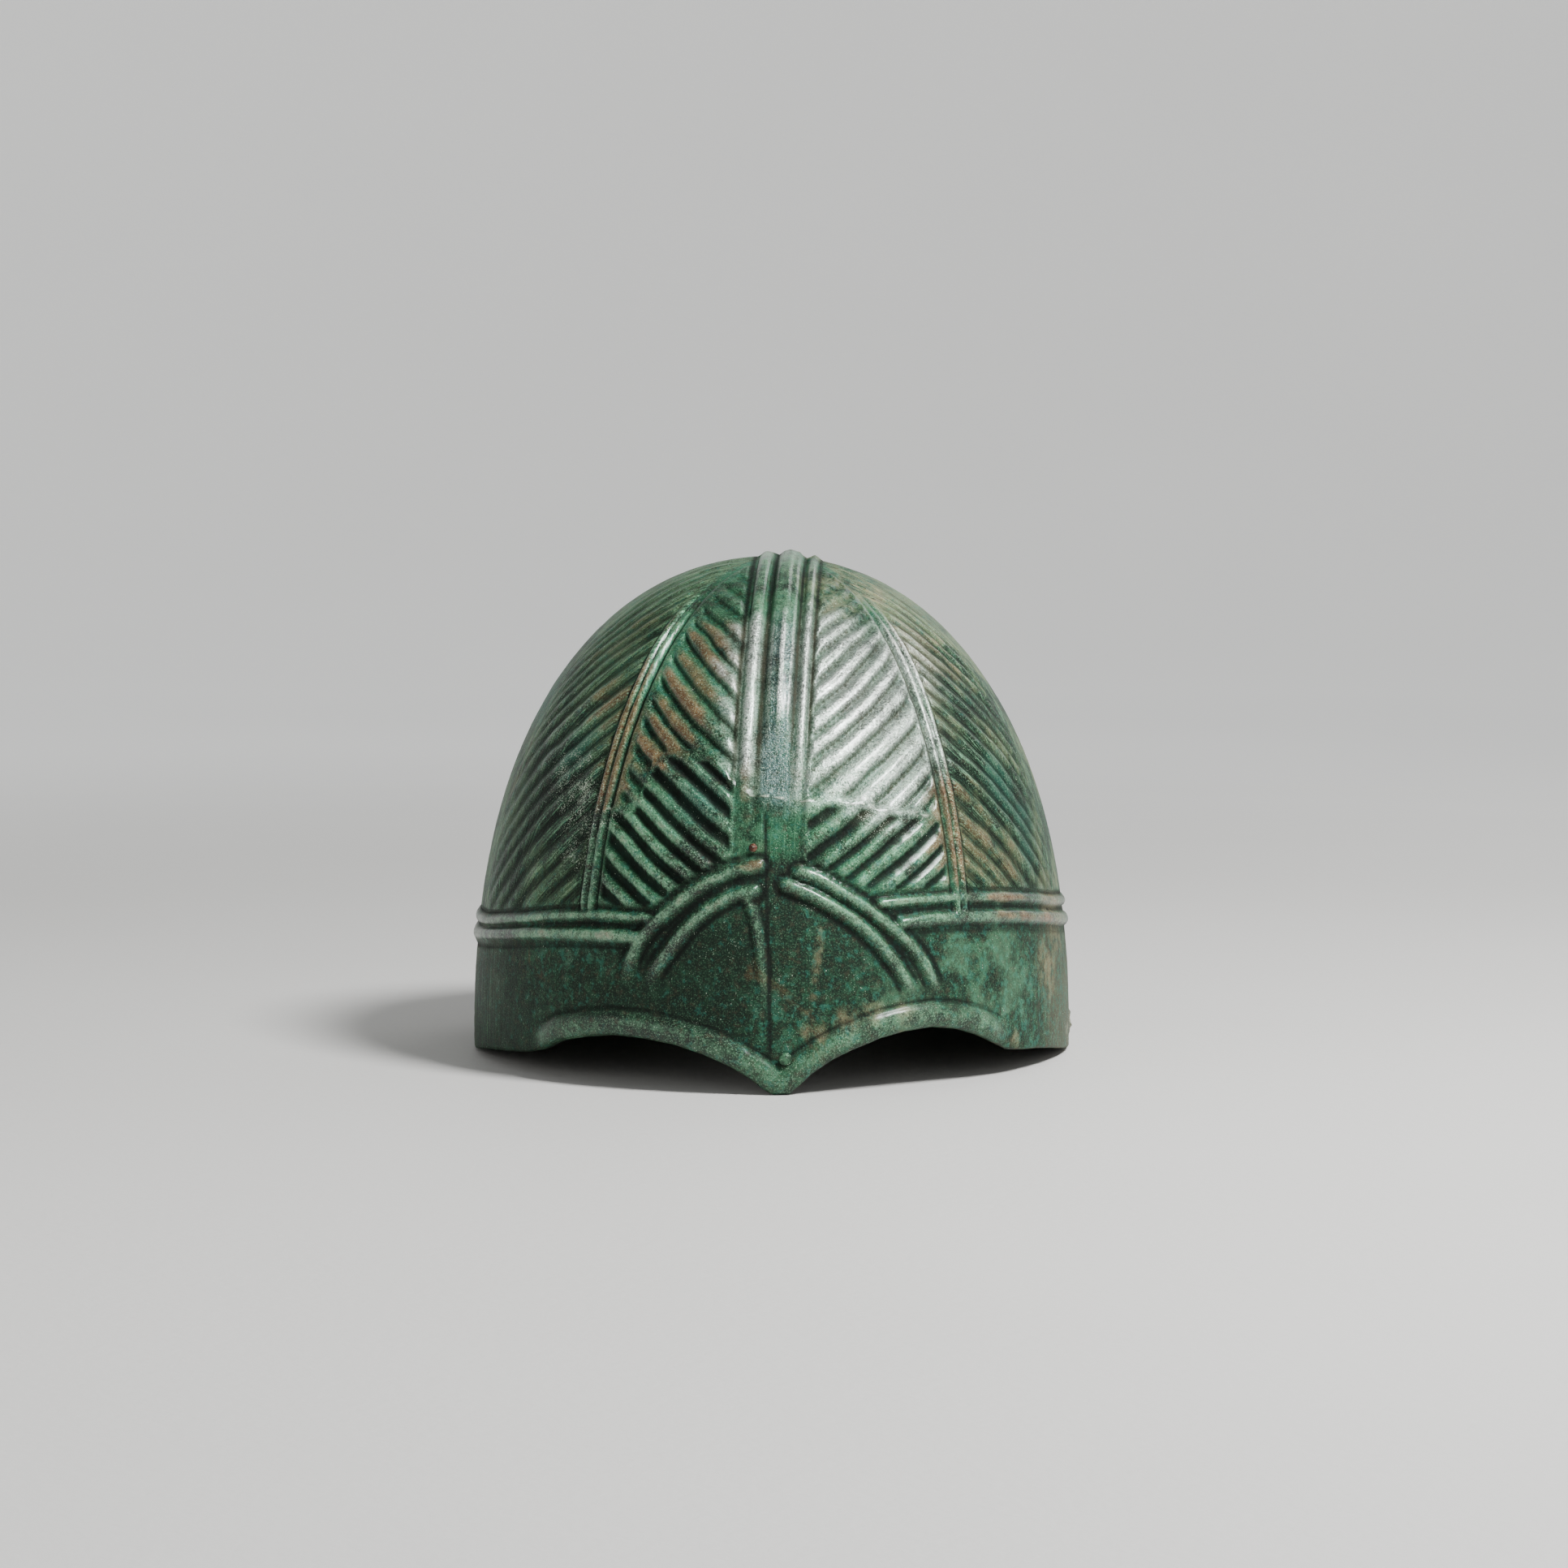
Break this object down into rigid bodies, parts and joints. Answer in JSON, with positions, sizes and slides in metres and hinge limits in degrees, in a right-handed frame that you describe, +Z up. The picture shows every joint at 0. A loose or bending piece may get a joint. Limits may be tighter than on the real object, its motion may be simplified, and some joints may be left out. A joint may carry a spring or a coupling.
{
  "type": "scythian helmet",
  "caption": "Cast bronze open helmet with a domed bowl, a crest, herringbone ribs, a double band, two arched brows and a short nasal point.",
  "frame": {"origin": "middle of the base of the helmet's box, on the surface it rests on", "axes": "+Z up to the crown, -Y towards the brow, +X towards the wearer's left"},
  "size_m": [0.1964, 0.2258, 0.1622],
  "materials": {
    "cast_bronze": "cast bronze under a green patina",
    "rivet_bronze": "bronze, patinated",
    "pin_copper": "bare copper-coloured metal"
  },
  "bodies": {
    "root": {"cast_shell": "cast_bronze", "tip_rivet": "rivet_bronze", "crest_pin": "pin_copper"}
  },
  "joints": []
}
